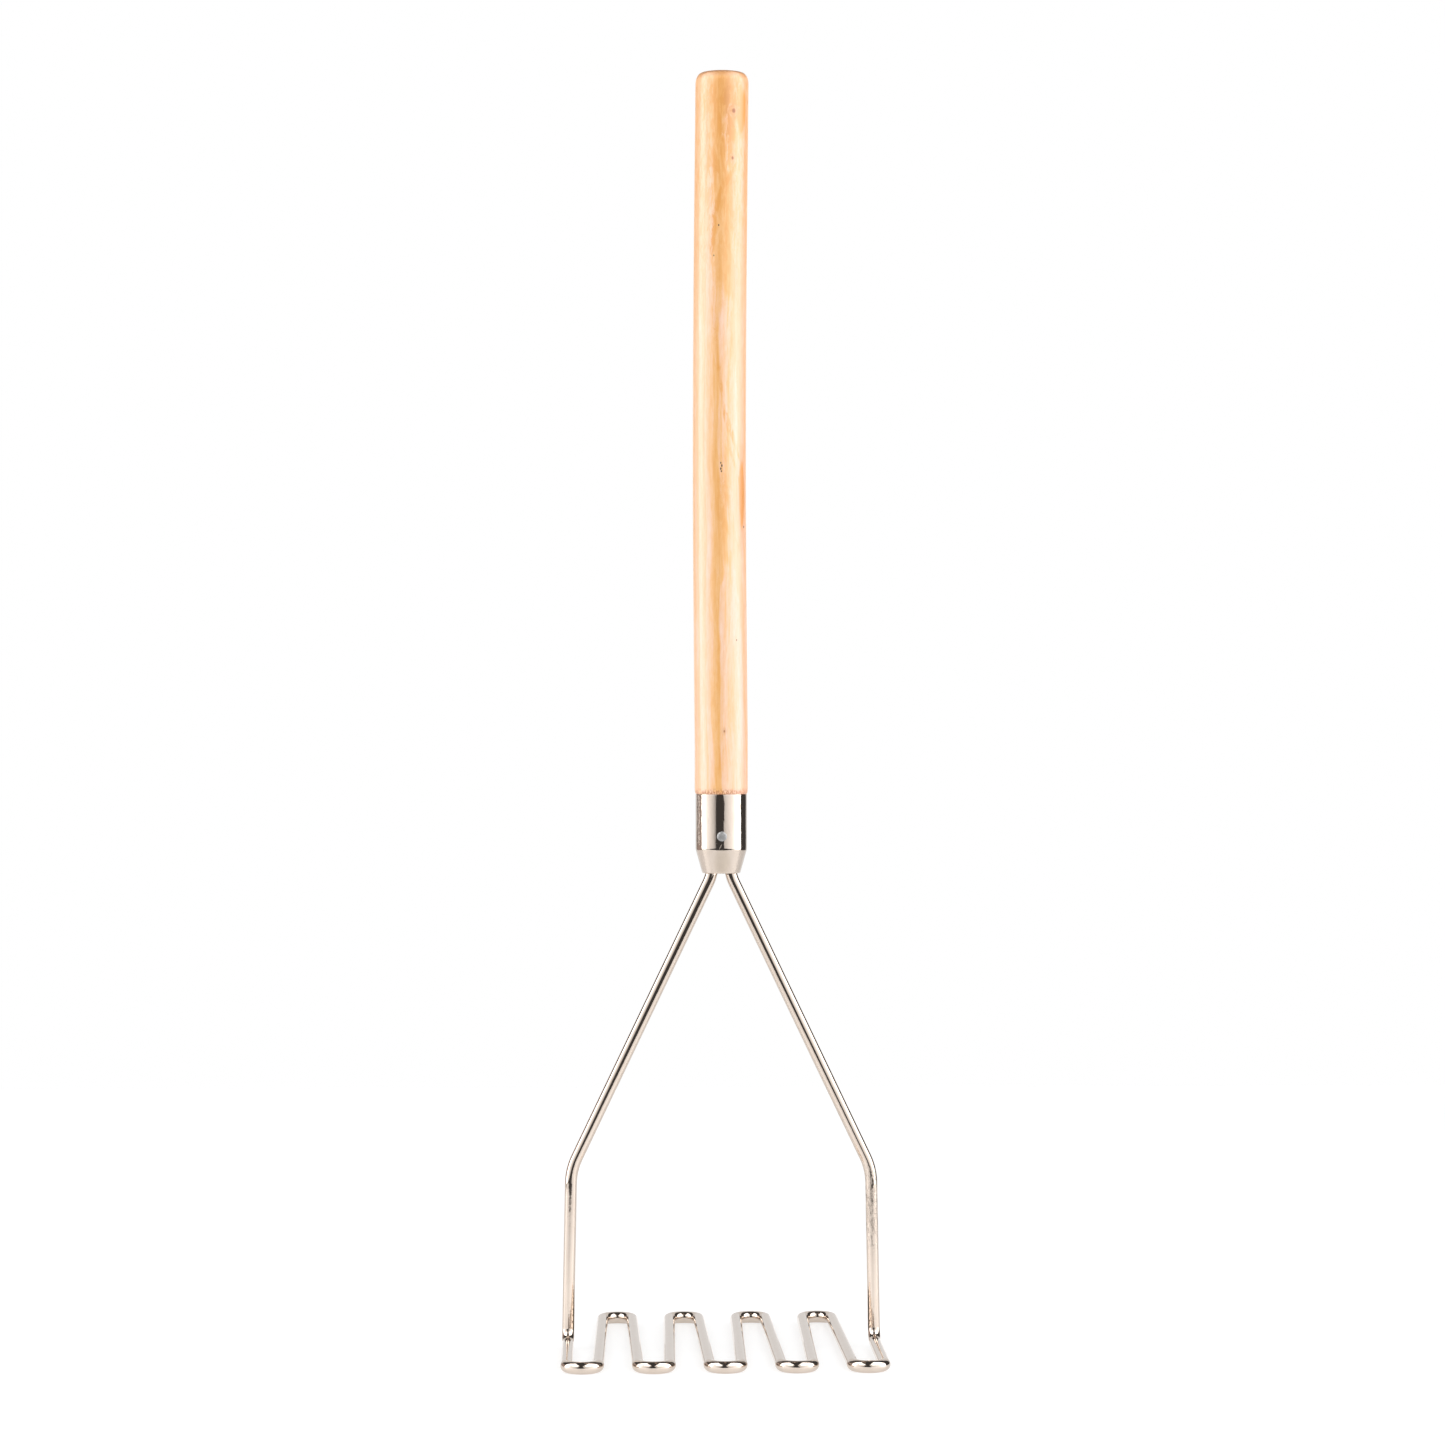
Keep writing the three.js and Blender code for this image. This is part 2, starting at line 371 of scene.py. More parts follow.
def make_floor():
    mesh = bpy.data.meshes.new("floor")
    grid = bmesh.new()
    corners = [(-FLOOR_SIDE, FLOOR_FRONT), (FLOOR_SIDE, FLOOR_FRONT),
               (FLOOR_SIDE, FLOOR_BACK), (-FLOOR_SIDE, FLOOR_BACK)]
    grid.faces.new([grid.verts.new((x, y, 0)) for x, y in corners])
    grid.to_mesh(mesh)
    grid.free()
    floor = bpy.data.objects.new("floor", mesh)
    bpy.context.scene.collection.objects.link(floor)
    g = Graph("floor_paper")
    x, y, _ = g.split(g.position())
    away = g.math("SQRT", g.total((x, x), (y, y)))
    near = g.mul(g.smooth(away, *FLOOR_NEAR_REACH), g.smooth(y, *FLOOR_NEAR_FRONT))
    far = g.smooth(y, *FLOOR_FAR_BACK)
    glow = g.total((near, FLOOR_NEAR_GLOW), (far, FLOOR_FAR_GLOW), FLOOR_GLOW)
    g.set(Base_Color=(FLOOR_ALBEDO,) * 3, Roughness=FLOOR_ROUGHNESS,
          Emission_Color=(1.0, 1.0, 1.0), Emission_Strength=glow)
    mesh.materials.append(g.material)


# ---- Mesh helpers ----

def finish_mesh(name, bm, material):
    bmesh.ops.recalc_face_normals(bm, faces=bm.faces)
    for face in bm.faces:
        face.smooth = True
    for edge in bm.edges:
        edge.smooth = edge.calc_face_angle(0) < SHARP_ANGLE
    mesh = bpy.data.meshes.new(name)
    bm.to_mesh(mesh)
    bm.free()
    mesh.materials.append(material)
    obj = bpy.data.objects.new(name, mesh)
    bpy.context.scene.collection.objects.link(obj)
    return obj


def arc(radius, height, across, along, start, end, count):
    """Points of an elliptical arc in a profile, as (radius, height) pairs."""
    points = []
    for step in range(count + 1):
        angle = start + (end - start) * step / count
        points.append((radius + across * math.cos(angle), height + along * math.sin(angle)))
    return points


def run(start, end, row):
    """Points along a straight stretch of a profile, without its two ends."""
    count = max(1, round(math.dist(start, end) / row))
    return [
        tuple(a + (b - a) * step / count for a, b in zip(start, end))
        for step in range(1, count)
    ]


def turn_profile(profile, sides, closed, place=lambda point: point):
    """Turns a profile of (radius, height) pairs about Z. An open profile starts and ends on the axis."""
    bm = bmesh.new()
    rings = []
    for radius, height in profile:
        if radius == 0:
            rings.append([bm.verts.new(place(Vector((0, 0, height))))] * sides)
            continue
        ring = []
        for side in range(sides):
            angle = 2 * math.pi * side / sides
            point = Vector((radius * math.cos(angle), radius * math.sin(angle), height))
            ring.append(bm.verts.new(place(point)))
        rings.append(ring)
    pairs = list(zip(rings, rings[1:]))
    if closed:
        pairs.append((rings[-1], rings[0]))
    for lower, upper in pairs:
        for side in range(sides):
            after = (side + 1) % sides
            corners = [lower[side], lower[after], upper[after], upper[side]]
            bm.faces.new(list(dict.fromkeys(corners)))
    return bm


def cylinder_cutter(start, end, radius, sides):
    bm = bmesh.new()
    middle = (Vector(start) + Vector(end)) / 2
    along = Vector(end) - Vector(start)
    turn = along.to_track_quat("Z", "Y").to_matrix().to_4x4()
    turn.translation = middle
    bmesh.ops.create_cone(
        bm, cap_ends=True, segments=sides, radius1=radius, radius2=radius, depth=along.length, matrix=turn)
    mesh = bpy.data.meshes.new("cutter")
    bm.to_mesh(mesh)
    bm.free()
    cutter = bpy.data.objects.new("cutter", mesh)
    bpy.context.scene.collection.objects.link(cutter)
    return cutter


def drill(obj, cutters):
    for cutter in cutters:
        modifier = obj.modifiers.new("drill", "BOOLEAN")
        modifier.object = cutter
        modifier.solver = "EXACT"
    depsgraph = bpy.context.evaluated_depsgraph_get()
    drilled = bpy.data.meshes.new_from_object(obj.evaluated_get(depsgraph))
    obj.modifiers.clear()
    obj.data = drilled
    for cutter in cutters:
        bpy.data.objects.remove(cutter)


# ---- Wire ----

def corner(x, y, z, setback):
    return Vector((x, y, z)), setback


def wire_corners(reach, top_z):
    """Corners of the wire's path, each with its bend's setback. Its outermost axis is at reach."""
    stem = [
        (TAIL_X, top_z, 0.0),
        (TAIL_X, NECK_Z, NECK_SETBACK),
        (SHOULDER_X, SHOULDER_Z, SHOULDER_SETBACK),
        (reach, WIRE_RADIUS, FOOT_RADIUS),
    ]
    pitch = 2 * (reach - LOOP_RADIUS) / (FRONT_LOOPS - 1)
    corners = [corner(-x, 0, z, setback) for x, z, setback in stem]
    for half in range(2 * FRONT_LOOPS - 1):
        x = LOOP_RADIUS - reach + half * pitch / 2
        y = -reach if half % 2 == 0 else reach
        corners.append(corner(x - LOOP_RADIUS, y, WIRE_RADIUS, LOOP_RADIUS))
        corners.append(corner(x + LOOP_RADIUS, y, WIRE_RADIUS, LOOP_RADIUS))
    corners += [corner(x, 0, z, setback) for x, z, setback in reversed(stem)]
    return corners


def wire_stations(corners):
    """Points and tangents along straight runs joined by round bends."""
    stations = []
    same_point = 1e-7
    same_direction = 0.999999

    def add(point, tangent):
        if stations and (point - stations[-1][0]).length < same_point:
            return
        if stations:
            last = stations[-1][0]
            straight = (point - last).normalized().dot(tangent) > same_direction
            count = max(1, round((point - last).length / STRAIGHT_STEP)) if straight else 1
            for step in range(1, count):
                stations.append((last.lerp(point, step / count), tangent.copy()))
        stations.append((point, tangent))

    for index, (point, setback) in enumerate(corners):
        incoming = (point - corners[index - 1][0]).normalized() if index else None
        outgoing = (corners[index + 1][0] - point).normalized() if index + 1 < len(corners) else None
        if incoming is None or outgoing is None:
            add(point, incoming or outgoing)
            continue
        turn = incoming.angle(outgoing)
        radius = setback / math.tan(turn / 2)
        inward = (outgoing - incoming * math.cos(turn)).normalized()
        start = point - incoming * setback
        steps = math.ceil(turn / BEND_STEP)
        for step in range(steps + 1):
            angle = turn * step / steps
            place = start + incoming * radius * math.sin(angle) + inward * radius * (1 - math.cos(angle))
            add(place, incoming * math.cos(angle) + inward * math.sin(angle))
    return stations


def make_wire(material):
    _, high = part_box("wire_head")
    stations = wire_stations(wire_corners(high[0] - WIRE_RADIUS, high[2]))
    bm = bmesh.new()
    layer = bm.verts.layers.float_vector.new("wire_space")
    side_axis = Vector((0, -1, 0))
    along = 0.0
    rings = []
    for index, (point, tangent) in enumerate(stations):
        if index:
            along += (point - stations[index - 1][0]).length
            before = stations[index - 1][1]
            side_axis = before.rotation_difference(tangent) @ side_axis
        side_axis = (side_axis - tangent * side_axis.dot(tangent)).normalized()
        other_axis = tangent.cross(side_axis)
        ends = index in (0, len(stations) - 1)
        radius = WIRE_RADIUS - (TAIL_CHAMFER if ends else 0)
        ring = []
        for side in range(WIRE_SIDES):
            angle = 2 * math.pi * side / WIRE_SIDES
            across = math.cos(angle)
            up = math.sin(angle)
            vert = bm.verts.new(point + (side_axis * across + other_axis * up) * radius)
            vert[layer] = Vector((along, across * radius, up * radius))
            ring.append(vert)
        rings.append(ring)
    for lower, upper in zip(rings, rings[1:]):
        for side in range(WIRE_SIDES):
            after = (side + 1) % WIRE_SIDES
            bm.faces.new((lower[side], lower[after], upper[after], upper[side]))
    bm.faces.new(rings[0])
    bm.faces.new(rings[-1])
    wire = finish_mesh("wire_bent", bm, material)
    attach(wire, "root")
    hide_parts("wire_head")


# ---- Ferrule ----

def cone_offset(distance):
    """How far below the cone's top edge the edge of a surface this far inside it lies, as in the CAD model.

    In a wall of even thickness it would lie as far above. So the ferrule's wall is 0.74 mm in its cone.
    """
    return distance * (1 - math.cos(CONE_HALF_ANGLE)) / math.sin(CONE_HALF_ANGLE)


def make_ferrule(material):
    low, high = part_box("ferrule")
    radius, bottom, top = high[0], low[2], high[2]
    cone_top = bottom + CONE_HEIGHT
    slope = math.tan(CONE_HALF_ANGLE)
    lip_radius = radius - CONE_HEIGHT * slope
    inner_cone_top = cone_top - cone_offset(FERRULE_WALL)
    inner_radius = radius - FERRULE_WALL
    inner_lip = inner_radius - (inner_cone_top - bottom) * slope
    setback = CONE_FILLET * math.tan(CONE_HALF_ANGLE / 2)
    lip = arc(lip_radius + FERRULE_LIP * slope - FERRULE_LIP, bottom + FERRULE_LIP,
              FERRULE_LIP, FERRULE_LIP, -math.pi / 2, -CONE_HALF_ANGLE, count=8)
    junction = arc(radius - CONE_FILLET, cone_top + setback,
                   CONE_FILLET, CONE_FILLET, -CONE_HALF_ANGLE, 0, count=10)
    edge = arc(radius - FERRULE_EDGE, top - FERRULE_EDGE,
               FERRULE_EDGE, FERRULE_EDGE, 0, math.pi / 2, count=5)
    outside = lip + run(lip[-1], junction[0], FERRULE_ROW) + junction
    outside += run(junction[-1], edge[0], FERRULE_ROW) + edge
    inside = [(inner_radius, top), (inner_radius, inner_cone_top), (inner_lip, bottom)]
    rows = []
    for start, end in zip(inside, inside[1:]):
        rows += [start] + run(start, end, FERRULE_ROW)
    rows.append(inside[-1])
    ferrule = finish_mesh("ferrule_drawn", turn_profile(outside + rows, FERRULE_SIDES, True), material)
    drill(ferrule, [rivet_cutter(radius)])
    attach(ferrule, "root")
    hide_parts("ferrule")


def rivet_height():
    low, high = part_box("rivet")
    return (low[2] + high[2]) / 2


def rivet_cutter(radius):
    """The cutter for the rivet's hole, right through a piece of this radius."""
    z = rivet_height()
    return cylinder_cutter((0, -2 * radius, z), (0, 2 * radius, z), RIVET_HOLE_RADIUS, RIVET_SIDES)


# ---- Handle ----

def bowed(point):
    """Bows the handle slightly: to the left along its middle, and to the right near its top."""
    wave = math.sin(math.pi * (point.z - BOW_START_Z) / BOW_HALF_WAVE)
    shift = -BOW * wave if point.z > BOW_START_Z else 0.0
    return point + Vector((shift, 0, 0))


def make_handle(material):
    low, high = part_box("handle")
    radius, bottom, top = high[0], low[2], high[2]
    ferrule_low, ferrule_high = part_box("ferrule")
    shoulder = ferrule_high[2] + SHOULDER_GAP
    clearance = FERRULE_WALL + TENON_CLEARANCE
    tenon = ferrule_high[0] - clearance
    taper_top = ferrule_low[2] + CONE_HEIGHT - cone_offset(clearance)
    tip = tenon - (taper_top - bottom) * math.tan(CONE_HALF_ANGLE)
    foot = arc(radius - SHOULDER_TAPER, shoulder + SHOULDER_HEIGHT,
               SHOULDER_TAPER, SHOULDER_HEIGHT, -math.pi / 2, 0, count=8)
    crown = arc(radius - END_ROUNDING_ACROSS, top - END_ROUNDING_ALONG,
                END_ROUNDING_ACROSS, END_ROUNDING_ALONG, 0, math.pi / 2, count=16)
    profile = [(0, bottom), (tip, bottom), (tenon, taper_top), (tenon, shoulder)] + foot
    profile += run(foot[-1], crown[0], HANDLE_ROW) + crown
    profile += run(crown[-1], (0, top), END_ROUNDING_ACROSS) + [(0, top)]
    handle = finish_mesh("handle_turned", turn_profile(profile, HANDLE_SIDES, False, bowed), material)
    socket_low = bottom - SOCKET_OVERRUN
    socket_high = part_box("wire_head")[1][2] + SOCKET_OVERRUN
    sockets = [
        cylinder_cutter((x, 0, socket_low), (x, 0, socket_high), SOCKET_RADIUS, WIRE_SIDES)
        for x in (-TAIL_X, TAIL_X)
    ]
    drill(handle, sockets + [rivet_cutter(radius)])
    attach(handle, "root")
    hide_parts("handle")


# ---- Rivet ----

def make_rivet(material):
    low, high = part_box("rivet")
    ferrule_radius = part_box("ferrule")[1][0]
    z = rivet_height()
    head = (high[0] - low[0]) / 2
    tail = head * RIVET_TAIL_SHARE
    seat = ferrule_radius - RIVET_SEAT_DEPTH
    profile = [(0, -seat - RIVET_HEAD_HEIGHT)]
    profile += arc(0, -seat, head, RIVET_HEAD_HEIGHT, -math.pi / 2, 0, count=10)[1:]
    profile += [(RIVET_SHANK_RADIUS, -seat), (RIVET_SHANK_RADIUS, seat)]
    profile += arc(0, seat, tail, RIVET_TAIL_HEIGHT, 0, math.pi / 2, count=10)[:-1]
    profile.append((0, seat + RIVET_TAIL_HEIGHT))

    def lie_down(point):
        return Vector((point.x, point.z, z - point.y))

    rivet = finish_mesh("rivet_set", turn_profile(profile, RIVET_SIDES, False, lie_down), material)
    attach(rivet, "root")
    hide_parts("rivet")


# ---- Materials ----

# Lengths in this section are in millimetres, except the bump distances. A place on the handle or the ferrule
# is (distance round its surface from the front line, height), a size is half a spot's width and half its
# height, and a lean is how far a spot moves across for each millimetre up.
HANDLE_SURFACE_RADIUS = 12.7
FERRULE_SURFACE_RADIUS = 12.2

# Knots: place, size, how far the grain is pushed aside, and whether the middle is dark
KNOTS = [((5.8, 590.0), (1.3, 1.5), 3.2, True), ((5.2, 567.5), (0.8, 1.1), 2.4, True),
         ((11.6, 405), (1.8, 10.0), 6.8, False), ((1.1, 294.8), (0.5, 0.8), 1.0, True),
         ((-21, 508), (1.4, 2.6), 4.0, True), ((30, 352), (1.0, 1.8), 3.2, True)]
KNOT_REACH = 3.2
GRAIN_SWAY = 9.0

# Place and size
DARK_SPECKS = [((-0.6, 422.4), (0.35, 0.6)), ((-0.1, 421.1), (0.45, 0.8)), ((-0.6, 419.6), (0.45, 0.8)),
               ((-0.3, 418.4), (0.4, 0.6)), ((-1.6, 535.4), (0.4, 0.55)),
               ((13.8, 392.3), (0.55, 0.8)), ((-3.9, 521.0), (0.3, 0.5)), ((7.6, 338.2), (0.3, 0.6))]
PALE_PATCH = ((-2.5, 522.0), (8.0, 65.0))

# Place, size, lean and strength
BROWN_PATCHES = [((2.2, 585.0), (5.5, 9.5), 0.05, 0.55), ((-4.6, 577.0), (2.8, 14.0), 0.14, 0.25),
                 ((-2.5, 566.0), (6.5, 11.0), 0.1, 0.35), ((1.0, 599.0), (9.0, 8.0), 0.0, 0.3),
                 ((3.6, 574.0), (2.6, 10.0), -0.1, 0.42), ((-1.5, 281.0), (1.3, 9.0), 0.0, 0.5),
                 ((0.6, 408.0), (4.5, 26.0), 0.02, 0.36), ((-2.0, 500.0), (3.0, 45.0), 0.03, 0.12),
                 ((4.2, 590.0), (5.0, 20.0), 0.0, 0.75), ((-9.0, 596.0), (4.0, 12.0), 0.05, 0.3),
                 ((8.6, 592.0), (3.2, 17.0), 0.0, 0.75), ((2.8, 590.2), (1.6, 11.0), 0.22, 1.0),
                 ((-3.8, 596.0), (2.8, 12.0), -0.17, 0.7), ((0.4, 575.0), (3.2, 17.0), 0.0, 0.5)]
STREAKS = [((2.9, 586.5), (1.0, 6.5), 0.15, 1.1), ((-0.9, 584.0), (1.3, 7.0), -0.12, 1.0),
           ((-5.8, 593.5), (0.9, 5.0), 0.2, 0.8), ((-3.2, 597.0), (1.6, 5.5), -0.15, 0.9),
           ((6.2, 597.0), (0.9, 4.5), 0.2, 0.8), ((1.6, 594.5), (2.2, 3.5), -0.2, 0.9),
           ((3.0, 557.5), (1.6, 9.0), 0.55, 0.8), ((-2.0, 546.5), (1.7, 13.0), 0.26, 0.9),
           ((-4.2, 531.0), (1.6, 16.0), 0.08, 0.8), ((-3.3, 486.0), (1.1, 13.0), -0.13, 0.5),
           ((-1.0, 463.0), (1.2, 16.0), -0.1, 0.6), ((1.5, 445.0), (1.3, 10.0), -0.18, 0.65),
           ((3.4, 441.5), (1.3, 12.0), -0.38, 0.6), ((7.0, 431.0), (1.4, 11.0), -0.44, 0.55),
           ((5.0, 426.0), (1.0, 12.0), -0.32, 0.35), ((9.6, 412.5), (0.7, 7.0), -0.07, 0.85),
           ((-24.0, 450.0), (1.6, 60.0), 0.03, 0.5), ((27.0, 520.0), (1.8, 70.0), -0.04, 0.5),
           ((36.0, 400.0), (1.4, 50.0), 0.05, 0.5), ((-34.0, 330.0), (1.8, 40.0), -0.05, 0.5)]
ORANGE_PATCHES = [((11.0, 590.0), (3.4, 12.5), 0.06, 3.2), ((11.7, 407.5), (3.0, 19.0), 0.0, 3.2)]

# Place, size and strength, and a colour for the painted highlights: pale bands down both sides of the handle,
# where the side lights would be reflected
STAINS = [((5.6, 596.0), (7.5, 20.0), 0.4), ((3.0, 585.0), (4.2, 22.0), 0.34)]
PAINTED_HIGHLIGHT_BANDS = [((-12.0, 440.0), (8.5, 900.0), 0.45, (0.87, 0.555, 0.41)),
           ((11.0, 440.0), (8.5, 900.0), 0.52, (0.87, 0.47, 0.37))]

# Heights at which a change in the wood begins, and at which it is complete
FIGURED_Z = (480, 560)
PALER_Z = (420, 320)
TORN_Z = (268.2, 265.4)
CROWN_Z = (605.6, 608.0)
END_GRAIN_Z = (607.8, 609.3)

# The tree's pith runs behind the handle, on a slant
PITH_ACROSS = -18.0
PITH_SLANT = 0.021
PITH_BACK = 23.0
RING_WIDTH = 3.1

WOOD_TONES = [(0.12, (0.95, 0.665, 0.52)), (0.34, (0.93, 0.567, 0.34)), (0.5, (0.91, 0.5, 0.18)),
              (0.68, (0.87, 0.42, 0.09)), (0.95, (0.76, 0.31, 0.035))]
END_GRAIN_TONES = [(0.2, (0.56, 0.28, 0.11)), (0.6, (0.4, 0.17, 0.06)), (1.0, (0.24, 0.09, 0.03))]
FIGURE_BROWN = (0.8, 0.32, 0.015)
STAIN_BROWN = (0.66, 0.235, 0.0)
EDGE_ORANGE = (0.78, 0.27, 0.0)
HALO_BROWN = (0.6, 0.25, 0.08)
KNOT_BROWN = (0.4, 0.14, 0.06)
SPECK_BLACK = (0.06, 0.022, 0.01)
PORE_BROWN = (0.42, 0.18, 0.06)
TORN_BROWN = (0.5, 0.14, 0.015)
CROWN_BROWN = (0.66, 0.29, 0.075)

# Place and size, and a lean for the scratches
FERRULE_SCRATCHES = [((-0.7, 239.9), (0.3, 1.7), 0.5), ((3.4, 247.0), (0.12, 2.6), -0.35),
                     ((-6.5, 252.0), (0.12, 3.4), 0.12)]
# Painted reflection: a darker, browner patch down the front of the cone, where a dark band in front of the
# tool would be reflected
FERRULE_PAINTED_REFLECTION = ((0.2, 232.0), (6.0, 9.0))

# Heights between which the cylinder's finish gives way to the cone's
CONE_Z = (238.8, 237.6)

NICKEL = (0.69, 0.605, 0.535)
NICKEL_WARM = (0.645, 0.545, 0.465)
NICKEL_DULL = (0.3, 0.25, 0.21)
PAINTED_REFLECTION_BROWN = (0.5, 0.42, 0.33)
RIVET_TONES = [(0.3, (0.5, 0.5, 0.5)), (0.5, (0.4, 0.4, 0.4)), (0.7, (0.27, 0.265, 0.26))]

# Bump distances, in metres
WOOD_RELIEF = 0.00012
COAT_RELIEF = 0.00009
PLATING_RELIEF = 0.00012
RIVET_RELIEF = 0.00015


def bend_grain(g, place, across, z):
    """How far the grain is pushed aside, and 1 in the middle of a knot down to 0 at its reach."""
    sway = g.sub(g.noise(g.scaled(place, (0.05, 0.05, 0.011)), detail=3), 0.5)
    bend = g.mul(sway, GRAIN_SWAY)
    halo = 0.0
    for where, size, push, _ in KNOTS:
        reach = (size[0] * KNOT_REACH, size[1] * KNOT_REACH)
        near = g.spot(across, z, where, reach)
        side = g.mul(g.sub(across, where[0]), 1 / reach[0])
        bend = g.sub(bend, g.mul(near, side, push))
        halo = g.most(halo, near)
    return bend, halo


def growth_rings(g, x, y, z, bend):
    """Distance from the pith, and how much of the dark late wood of a ring is here."""
    pith = g.total((z, PITH_SLANT), PITH_ACROSS)
    from_pith = g.math("SQRT", g.add(g.math("POWER", g.add(g.sub(x, pith), bend), 2.0),
                                     g.math("POWER", g.sub(y, PITH_BACK), 2.0)))
    ring = g.math("FRACT", g.mul(g.total(from_pith, (bend, 0.5)), 1 / RING_WIDTH))
    return from_pith, g.mul(g.smooth(ring, 0.15, 0.86), g.smooth(ring, 1.0, 0.9))


def add_figure(g, colour, across, z, figured, fibre, curl, blotch):
    """Lays painted highlight bands, brown figure, stains and orange patches over the plain wood."""
    # Painted highlights: pale, pinker bands down both sides of the handle, where the side lights would be
    # reflected
    for where, size, strength, pale in PAINTED_HIGHLIGHT_BANDS:
        colour = g.mix(g.mul(g.spot(across, z, where, size), strength), colour, pale)
    streaky = g.total((g.smooth(fibre, 0.32, 0.62), 0.5), (g.smooth(blotch, 0.43, 0.58), 0.95), 0.2)
    figure = 0.0
    for where, size, lean, strength in BROWN_PATCHES + STREAKS:
        patch = g.mul(g.spot(across, z, where, size, lean), strength)
        figure = g.most(figure, g.mul(patch, streaky))
    fleck = g.most(g.smooth(curl, 0.46, 0.6), g.smooth(blotch, 0.5, 0.62))
    fleck = g.mul(fleck, g.total((figured, 0.34), 0.13))
    colour = g.mix(g.at_most_one(g.add(figure, fleck)), colour, FIGURE_BROWN)
    for where, size, strength in STAINS:
        stain = g.mul(g.spot(across, z, where, size), g.mul(streaky, strength))
        colour = g.mix(g.at_most_one(stain), colour, STAIN_BROWN)
    broken = g.total((g.smooth(fibre, 0.34, 0.6), 0.75), 0.2)
    for where, size, lean, strength in ORANGE_PATCHES:
        patch = g.mul(g.spot(across, z, where, size, lean), strength, broken)
        colour = g.mix(g.at_most_one(patch), colour, EDGE_ORANGE)
    return colour


def make_wood():
    g = Graph("lacquered_wood")
    place = g.millimetres()
    x, y, z = g.split(place)
    across = g.around(x, y, HANDLE_SURFACE_RADIUS)
    bend, halo = bend_grain(g, place, across, z)
    from_pith, late_wood = growth_rings(g, x, y, z, bend)

    grain = g.join(g.add(x, bend), y, z)
    broad = g.noise(g.scaled(grain, (0.34, 0.34, 0.012)), detail=3, roughness=0.6)
    fibre = g.noise(g.scaled(grain, (1.0, 1.0, 0.026)), detail=5, roughness=0.68)
    fine = g.noise(g.scaled(grain, (6.0, 6.0, 0.16)), detail=3, roughness=0.7)
    curl = g.noise(g.scaled(grain, (0.9, 0.9, 0.17)), detail=4, roughness=0.65, distortion=0.5)
    blotch = g.noise(g.scaled(grain, (0.5, 0.5, 0.12)), detail=5, roughness=0.72, distortion=0.6)
    mottle = g.noise(g.scaled(place, (0.09, 0.09, 0.03)), detail=4, roughness=0.55)
    figured = g.smooth(z, *FIGURED_Z)
    tone = g.total((late_wood, 0.24), (broad, 0.5), (fibre, 0.8), (fine, 0.5), (mottle, 0.34),
                   (curl, g.total((figured, 0.3), 0.3)), (g.smooth(z, *PALER_Z), -0.08),
                   (g.spot(across, z, *PALE_PATCH), -0.17), -0.82)
    colour = add_figure(g, g.ramp(tone, WOOD_TONES), across, z, figured, fibre, curl, blotch)

    core = g.spots(across, z, [knot[:2] for knot in KNOTS if knot[3]])
    specks = g.mul(g.spots(across, z, DARK_SPECKS), g.add(fine, 0.5))
    specks = g.smooth(specks, 0.1, 0.5)
    pores = g.smooth(g.cells(g.scaled(grain, (2.6, 2.6, 0.28))), 0.13, 0.05)
    pores = g.mul(pores, g.smooth(fine, 0.42, 0.6))
    ragged = g.noise(g.scaled(place, (1.6, 1.6, 0.9)), detail=3)
    torn = g.mul(g.smooth(z, *TORN_Z), g.smooth(ragged, 0.44, 0.54))
    end_rings = g.math("SINE", g.total((from_pith, 2.9), (mottle, 9.0)))
    end_grain = g.ramp(g.total((end_rings, 0.16), (fine, 0.6), 0.2), END_GRAIN_TONES)
    layers = [
        (halo, 0.3, HALO_BROWN), (core, 0.9, KNOT_BROWN), (specks, 0.95, SPECK_BLACK),
        (pores, 0.32, PORE_BROWN), (torn, 0.9, TORN_BROWN),
        (g.smooth(z, *CROWN_Z), 0.8, CROWN_BROWN), (g.smooth(z, *END_GRAIN_Z), 0.95, end_grain),
    ]
    for cover, strength, shade in layers:
        colour = g.mix(g.mul(cover, strength), colour, shade)

    height = g.total((fibre, 0.5), (fine, 0.35), (pores, -0.6), (specks, -0.8), (torn, -0.5))
    coat_height = g.total((fibre, 0.6), (fine, 0.25))
    g.set(Base_Color=colour, Metallic=0.0, IOR=1.6, Roughness=g.total((fibre, 0.25), 0.32),
          Normal=g.bump(height, WOOD_RELIEF, 0.55),
          Coat_Weight=g.sub(1.0, g.mul(g.most(specks, core), 0.9)), Coat_IOR=2.0, Coat_Roughness=0.48,
          Coat_Normal=g.bump(coat_height, COAT_RELIEF, 0.5))
    return g.material


